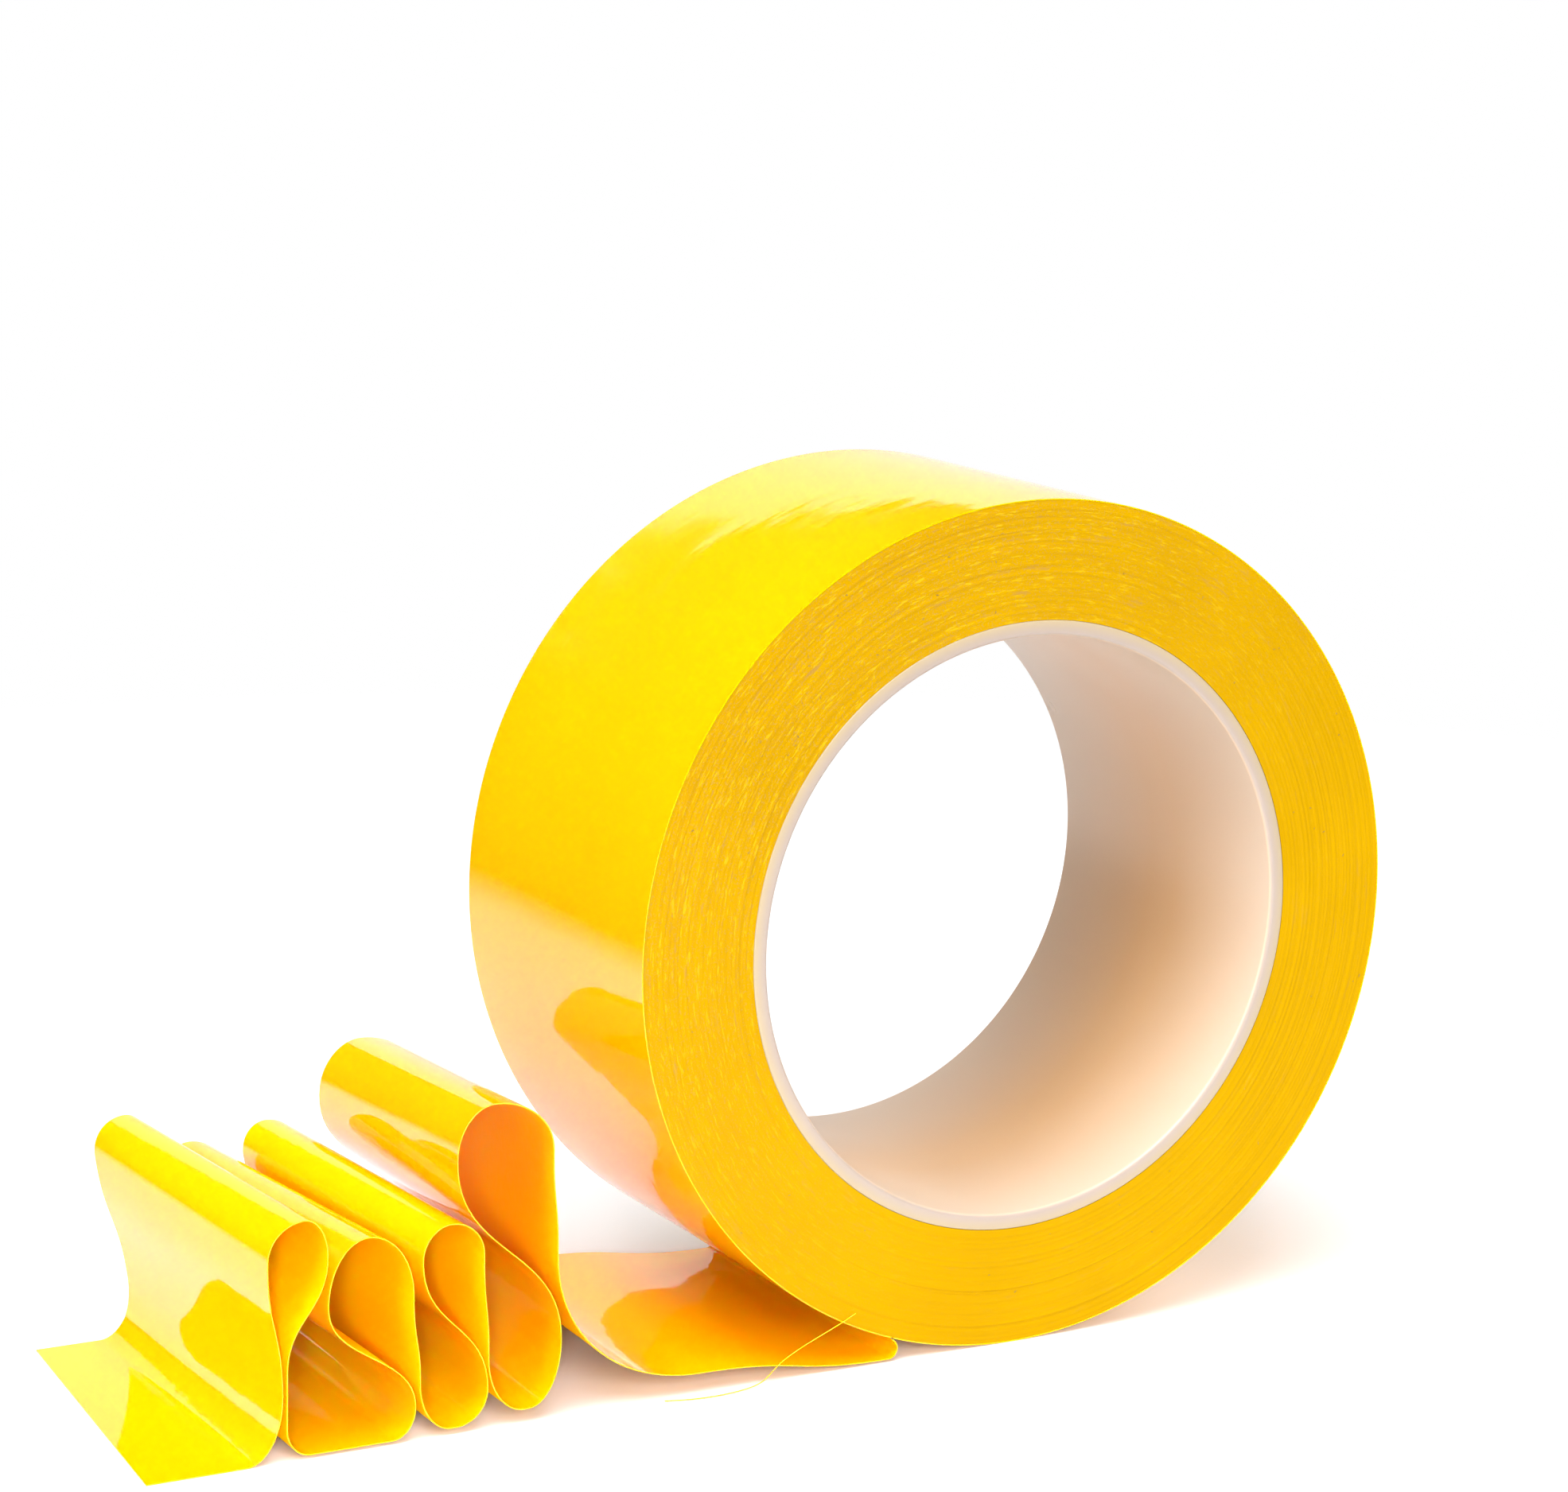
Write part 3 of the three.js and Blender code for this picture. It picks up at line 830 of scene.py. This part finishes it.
turn_path = np.array([
    round_roll(peel_angle - (2 * math.pi - END_GAP) * k / TURN_STEPS - END_GAP / 2,
               RADIUS - FILM / 2 - CLEARANCE)
    for k in range(TURN_STEPS + 1)
])
outer_turn = film_piece("outer_turn_film", turn_path, turn_path, across=12)
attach(outer_turn, "roll")
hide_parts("outer_turn")
print("outer turn", len(outer_turn.data.polygons), "faces")

# %% [markdown]
# ## Loose film
# From the roll outwards the film folds back, runs along the table, stands up in four loops and lies down
# in a tail. Cloth simulation could drop a strip into such loops, but never into these four. So the strip
# is drawn as one line: a list of stations, each a place and a heading, with a smooth curve between every
# two. A loop has stations at its rising neck, its belly, its crest, its belly again and its falling neck.
# Its foot is the trough that follows it, and the far numbers say how its far edge leans and how high that
# stands. The loops are listed from the tail towards the roll, in millimetres.

# %% Sizes of the loops
LOOPS = [
    {"height": 29.8, "width": 7.7, "belly": 25.0, "lean": 1.9, "crest_shift": 0.9, "rise_neck": 8.0,
     "fall_neck": 11.0, "fall_run": 7.0, "overlap": 0.0, "foot": 16.7, "foot_flat": 10.5, "foot_lift": 0.5,
     "belly_gap": 0.0, "far_lean": -0.14, "far_height": 1.0},
    {"height": 26.6, "width": 11.1, "belly": 18.5, "lean": -5.9, "crest_shift": -0.4, "rise_neck": 4.3,
     "fall_neck": 7.0, "fall_run": 0.0, "overlap": 0.0, "foot": 9.0, "foot_flat": 0.6, "foot_lift": 0.9,
     "belly_gap": 0.6, "far_lean": -0.14, "far_height": 0.94},
    {"height": 26.8, "width": 8.1, "belly": 22.5, "lean": -4.7, "crest_shift": -0.3, "rise_neck": 5.2,
     "fall_neck": 9.0, "fall_run": 0.0, "overlap": 0.5, "foot": 9.3, "foot_flat": 0.6, "foot_lift": 1.8,
     "belly_gap": -3.8, "far_lean": -0.15, "far_height": 1.0},
    {"height": 41.2, "width": 12.9, "belly": 34.5, "lean": -7.8, "crest_shift": -1.5, "rise_neck": 10.0,
     "fall_neck": 21.0, "fall_run": 0.0, "overlap": 1.2, "foot": 0.0, "foot_flat": 0.0, "foot_lift": 0.0,
     "belly_gap": 0.0, "far_lean": 0.105, "far_height": 0.875},
]
WALL_STEP = 0.6  # from a rising neck to the falling one
STRIP_LENGTH, STRIP_RISE = 27.2, 2.7
LAST_BEND = 19.2
TAIL_BEND, TAIL_LENGTH, TAIL_SKEW = 4.6, 12.6, 4.0
LEVEL, UP, DOWN = 0.0, math.pi / 2, -math.pi / 2

# %% [markdown]
# The necks are placed from the fold outwards. A loop stands clear of the next by its trough or by its
# belly, whichever pushes it further, so that a wider loop moves its neighbours and doesn't cut them.

# %% Where each loop stands
fold_x = fold_middle.x / MM
fold_z = fold_middle.z / MM
fold_r = FOLD_RADIUS / MM
strip_start = fold_x - STRIP_LENGTH
necks = [0.0] * len(LOOPS)
necks[-1] = strip_start - LAST_BEND - WALL_STEP
for i in range(len(LOOPS) - 2, -1, -1):
    loop, after = LOOPS[i], LOOPS[i + 1]
    by_trough = necks[i + 1] - loop["foot"] - WALL_STEP
    next_belly = necks[i + 1] + after["lean"] - after["width"] / 2
    by_belly = next_belly - loop["belly_gap"] - loop["width"] / 2 - loop["lean"]
    necks[i] = min(by_trough, by_belly)
print("necks at", [round(neck, 2) for neck in necks])

# %% [markdown]
# A cubic curve joins two stations. Its handles follow their headings, and their length sets how round it
# is: 0.552 makes a quarter turn nearly a true arc, and one half is enough for a gentle change of level.
# The curve is first drawn finely and then cut into even steps, so that the mesh is even all along.

# %% A smooth line between two stations
ARC_REACH, EASY_REACH = 0.552, 0.5
LANDING_REACH = 0.62
FINE_STEPS = 200


def curve_between(start, end, steps):
    """Cubic curve from one (x, z, heading) to the next. A fourth number is the last handle's length."""
    here, there = np.array(start[:2]), np.array(end[:2])
    span = there - here
    leave = np.array((math.cos(start[2]), math.sin(start[2])))
    arrive = np.array((math.cos(end[2]), math.sin(end[2])))
    reach = EASY_REACH if abs(leave @ arrive) > 0.5 else ARC_REACH
    reach_in = end[3] if len(end) > 3 else reach
    first = here + leave * abs(span @ leave) * reach
    second = there - arrive * abs(span @ arrive) * reach_in
    t = np.linspace(0.0, 1.0, FINE_STEPS)[:, None]
    fine = ((1 - t) ** 3 * here + 3 * (1 - t) ** 2 * t * first
            + 3 * (1 - t) * t ** 2 * second + t ** 3 * there)
    length = np.concatenate([[0.0], np.cumsum(np.linalg.norm(np.diff(fine, axis=0), axis=1))])
    wanted = np.linspace(0.0, length[-1], steps + 1)
    return np.stack([np.interp(wanted, length, fine[:, axis]) for axis in (0, 1)], axis=1)


# %% Stations of one loop, and of the trough after it
def loop_stations(i):
    loop, neck = LOOPS[i], necks[i]
    belly = neck + loop["lean"]
    half_width = loop["width"] / 2
    fall_x = neck + WALL_STEP - loop["overlap"]
    stations = [
        (neck, loop["rise_neck"], UP),
        (belly - half_width, loop["belly"], UP),
        (belly + loop["crest_shift"], loop["height"], LEVEL),
        (belly + half_width, loop["belly"], DOWN),
        (fall_x, loop["fall_neck"], DOWN),
    ]
    if loop["fall_run"]:
        stations.append((fall_x, loop["fall_neck"] - loop["fall_run"], DOWN))
    return stations


def after_loop(i):
    """The trough after a loop, or the way down to the strip after the last one."""
    if i == len(LOOPS) - 1:
        return [(strip_start, STRIP_RISE, LEVEL, LANDING_REACH)]
    loop = LOOPS[i]
    bend = (loop["foot"] - loop["foot_flat"]) / 2
    start = necks[i] + WALL_STEP + bend
    end = necks[i + 1] - bend
    return [(start, loop["foot_lift"], LEVEL), (end, loop["foot_lift"], LEVEL)]


# %% [markdown]
# Now the near edge of the whole strip is drawn, from the cut end to the fold. Beside it runs a list of
# which loop each place belongs to, because the far edge is worked out loop by loop.

# %% The near edge, from the cut end to the fold
TAIL_PLACES, LOOP_STEPS, STRIP_STEPS, FOLD_STEPS = 30, 22, 80, 24
NO_LOOP = -1
FOLD_STOP = 0.15  # how far short of the roll the fold ends
tail_bend_x = necks[0] - TAIL_BEND
tail_end_x = tail_bend_x - TAIL_LENGTH
film_half = FILM / MM / 2
lines = [np.linspace((tail_end_x, film_half), (tail_bend_x, film_half), TAIL_PLACES)]
owners = [NO_LOOP]
previous = (tail_bend_x, film_half, LEVEL)
for i in range(len(LOOPS)):
    for station in loop_stations(i) + after_loop(i):
        lines.append(curve_between(previous, station, LOOP_STEPS)[1:])
        owners.append(i)
        previous = station[:3]
strip_end = (fold_x, fold_z - fold_r, LEVEL)
lines.append(curve_between((strip_start, STRIP_RISE, LEVEL), strip_end, STRIP_STEPS)[1:])
owners.append(NO_LOOP)
turn = np.linspace(-math.pi / 2, to_axis - FOLD_STOP / fold_r, FOLD_STEPS + 1)[1:]
lines.append(np.stack([fold_x + fold_r * np.cos(turn), fold_z + fold_r * np.sin(turn)], axis=1))
owners.append(NO_LOOP)
near_line = np.concatenate(lines)
owner = np.concatenate([np.full(len(line), mine) for line, mine in zip(lines, owners)])
near_length = float(np.linalg.norm(np.diff(near_line, axis=0), axis=1).sum())
print("loose film", len(near_line), "places,", round(near_length, 1), "mm long")

# %% [markdown]
# Each loop leans across the tape's width by its own amount, more the higher it is. The last falling wall
# also stands further out at its far edge, most of all half-way up, and the cut end runs a little askew.
# The film is then made from the near and the far line in one piece. The roll turns and the loops slide away
# as tape is drawn off.

# %% The far edge, and the film itself
FAR_SPREAD, SPREAD_RISE, SPREAD_DROP = 4.4, 10.0, 9.0


def eased(share):
    """0 to 1 with a gentle start and end."""
    share = np.clip(share, 0.0, 1.0)
    return 3 * share ** 2 - 2 * share ** 3


far_line = near_line.copy()
height = np.maximum(near_line[:, 1] - STRIP_RISE, 0.0)
for i, loop in enumerate(LOOPS):
    mine = owner == i
    far_line[mine, 0] += (height * loop["far_lean"])[mine]
    far_line[mine, 1] += (height * (loop["far_height"] - 1.0))[mine]
falling = (owner == len(LOOPS) - 1) & (np.arange(len(owner)) > np.argmax(near_line[:, 1]))
spread = (eased((near_line[:, 1] - STRIP_RISE) / SPREAD_RISE)
          * eased((LOOPS[-1]["height"] - near_line[:, 1]) / SPREAD_DROP))
far_line[:, 0] += np.where(falling, FAR_SPREAD * spread, 0.0)
tail_share = np.clip((tail_bend_x - near_line[:, 0]) / TAIL_LENGTH, 0.0, 1.0)
in_tail = (owner == NO_LOOP) & (near_line[:, 0] < tail_bend_x)
far_line[:, 0] += np.where(in_tail, tail_share * TAIL_SKEW, 0.0)
loose_film = film_piece("loose_film", near_line * MM, far_line * MM, across=24)
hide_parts("peel_fold", "lead_strip", "loop_1", "loop_2", "loop_3", "loop_4", "tail_end")
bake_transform(loose_film)
print("loose film", len(loose_film.data.polygons), "faces")

# %% [markdown]
# ## Sliver of film
# A hair-thin sliver has come off the tape's edge at the foot of the roll and lies curled on the table. A
# bent cylinder could be it. A curve with a round bevel is easier to lay, as it needs only nine places in
# millimetres, and it is turned into a mesh at once, so that its shape is settled.

# %% Sliver of film
SLIVER_THICKNESS = 0.14 * MM


def thread_piece(name, places, thickness, finish):
    data = bpy.data.curves.new(name, "CURVE")
    data.dimensions = "3D"
    data.bevel_depth = thickness / 2
    data.bevel_resolution = 2
    data.use_fill_caps = True
    spline = data.splines.new("NURBS")
    spline.points.add(len(places) - 1)
    for point, place in zip(spline.points, places):
        point.co = (*(value * MM for value in place), 1.0)
    spline.use_endpoint_u = True
    spline.order_u = 4
    spline.resolution_u = 10
    drawn = placed(name + "_line", data)
    bpy.context.view_layer.update()
    mesh = bpy.data.meshes.new_from_object(drawn.evaluated_get(bpy.context.evaluated_depsgraph_get()))
    mesh.name = name
    bpy.data.objects.remove(drawn)
    mesh.materials.clear()
    mesh.materials.append(finish)
    mesh.polygons.foreach_set("use_smooth", [True] * len(mesh.polygons))
    return facing_outwards(placed(name, mesh))


sliver_places = [(-24.0, -25.2, 7.4), (-26.0, -25.25, 6.4), (-31.5, -25.25, 4.3), (-35.5, -25.3, 2.3),
                 (-37.3, -25.6, 0.25), (-41.0, -26.6, 0.12), (-45.0, -27.1, 0.12), (-48.5, -26.8, 0.12),
                 (-51.7, -25.8, 0.12)]
sliver = thread_piece("film_sliver", sliver_places, SLIVER_THICKNESS, film_backing)
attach(sliver, "lead")
print("sliver", len(sliver.data.polygons), "faces")

# %% [markdown]
# ## Dust on the side of the roll
# Bits of dust cling to the glue along the cut edges, more of them in the upper left. Painted spots would
# do from afar, but real grains catch the light from every side. A node tree scatters them by rule: points
# at random angles and radii, with one low ball laid on each, stretched and turned by chance. The seed is
# fixed, so that the grains fall in the same places each time.

# %% Finish of the dust
DUST_DARK, DUST_LIGHT = (0.10, 0.05, 0.02, 1.0), (0.40, 0.26, 0.04, 1.0)


def dust_finish():
    material, tree, shader = new_finish("dust_grain")
    tone = noise(tree, object_place(tree), 700.0)
    feed(tree, shader.inputs["Base Color"], blend_colours(tree, tone, DUST_DARK, DUST_LIGHT))
    feed(tree, shader.inputs["Roughness"], between(tree, tone, 0.3, 0.7, 0.7, 0.9))
    add_bump(tree, shader, tone, 0.02 * MM)
    return material


# %% A number by chance, different for each grain
def chance(tree, seed, low, high, offset):
    node = put(tree, "FunctionNodeRandomValue", data_type="FLOAT")
    lowest, highest = [socket for socket in node.inputs if socket.type == "VALUE"][:2]
    lowest.default_value, highest.default_value = low, high
    tree.links.new(put(tree, "GeometryNodeInputIndex").outputs[0], node.inputs["ID"])
    feed(tree, node.inputs["Seed"], calc(tree, "ADD", seed, offset))
    return [socket for socket in node.outputs if socket.type == "VALUE"][0]


# %% Where the grains lie
CROWDED_ANGLE = math.radians(125)


def grain_points(tree, inside):
    """A number from -1 to 1 times its own size falls mostly near nought, which crowds the angles."""
    seed = inside["Seed"]
    swing = chance(tree, seed, -1.0, 1.0, 0.0)
    crowded = calc(tree, "MULTIPLY", swing, calc(tree, "ABSOLUTE", swing))
    angle = calc(tree, "ADD", calc(tree, "MULTIPLY", crowded, math.pi), CROWDED_ANGLE)
    span = calc(tree, "SUBTRACT", inside["Outer Radius"], inside["Inner Radius"])
    radius = calc(tree, "MULTIPLY_ADD", chance(tree, seed, 0.06, 0.94, 1.0), span, inside["Inner Radius"])
    across, up = calc(tree, "COSINE", angle), calc(tree, "SINE", angle)
    place = put(tree, "ShaderNodeCombineXYZ")
    feed(tree, place.inputs["X"], calc(tree, "MULTIPLY", radius, across))
    feed(tree, place.inputs["Y"], inside["Side"])
    feed(tree, place.inputs["Z"], calc(tree, "MULTIPLY_ADD", radius, up, inside["Axis Height"]))
    points = put(tree, "GeometryNodePoints")
    feed(tree, points.inputs["Count"], inside["Count"])
    feed(tree, points.inputs["Position"], place.outputs[0])
    return points.outputs[0]


# %% Node tree for the dust
GRAIN_DEPTH = 0.35


def make_fleck_tree():
    tree = bpy.data.node_groups.new("flecks_tree", "GeometryNodeTree")
    inside = named_inputs(tree, [
        ("Inner Radius", "Float", 0.04), ("Outer Radius", "Float", 0.055), ("Axis Height", "Float", 0.055),
        ("Side", "Float", -0.025), ("Count", "Int", 90), ("Grain", "Float", 0.0001), ("Seed", "Int", 7),
    ])
    seed = inside["Seed"]
    grain = put(tree, "GeometryNodeMeshIcoSphere")
    feed(tree, grain.inputs["Radius"], inside["Grain"])
    grain.inputs["Subdivisions"].default_value = 1
    size = put(tree, "ShaderNodeCombineXYZ")
    feed(tree, size.inputs["X"], chance(tree, seed, 0.6, 3.2, 2.0))
    size.inputs["Y"].default_value = GRAIN_DEPTH
    feed(tree, size.inputs["Z"], chance(tree, seed, 0.4, 1.0, 3.0))
    heading = put(tree, "ShaderNodeCombineXYZ")
    feed(tree, heading.inputs["Y"], chance(tree, seed, -3.1, 3.1, 4.0))
    laid = put(tree, "GeometryNodeInstanceOnPoints")
    tree.links.new(grain_points(tree, inside), laid.inputs["Points"])
    tree.links.new(grain.outputs["Mesh"], laid.inputs["Instance"])
    tree.links.new(heading.outputs[0], laid.inputs["Rotation"])
    tree.links.new(size.outputs[0], laid.inputs["Scale"])
    realise_and_paint(tree, laid.outputs[0], inside["Finish"])
    return tree


# %% Dust on the side of the roll
GRAINS = 90
flecks = grown("dust_flecks", make_fleck_tree(), {
    "Inner Radius": CORE_RADIUS,
    "Outer Radius": RADIUS,
    "Axis Height": AXIS_Z,
    "Side": NEAR_Y + 0.03 * MM,
    "Count": GRAINS,
    "Grain": 0.09 * MM,
    "Seed": 7,
    "Finish": dust_finish(),
})
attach(flecks, "roll")
print("dust", GRAINS, "grains,", len(flecks.data.polygons), "faces")
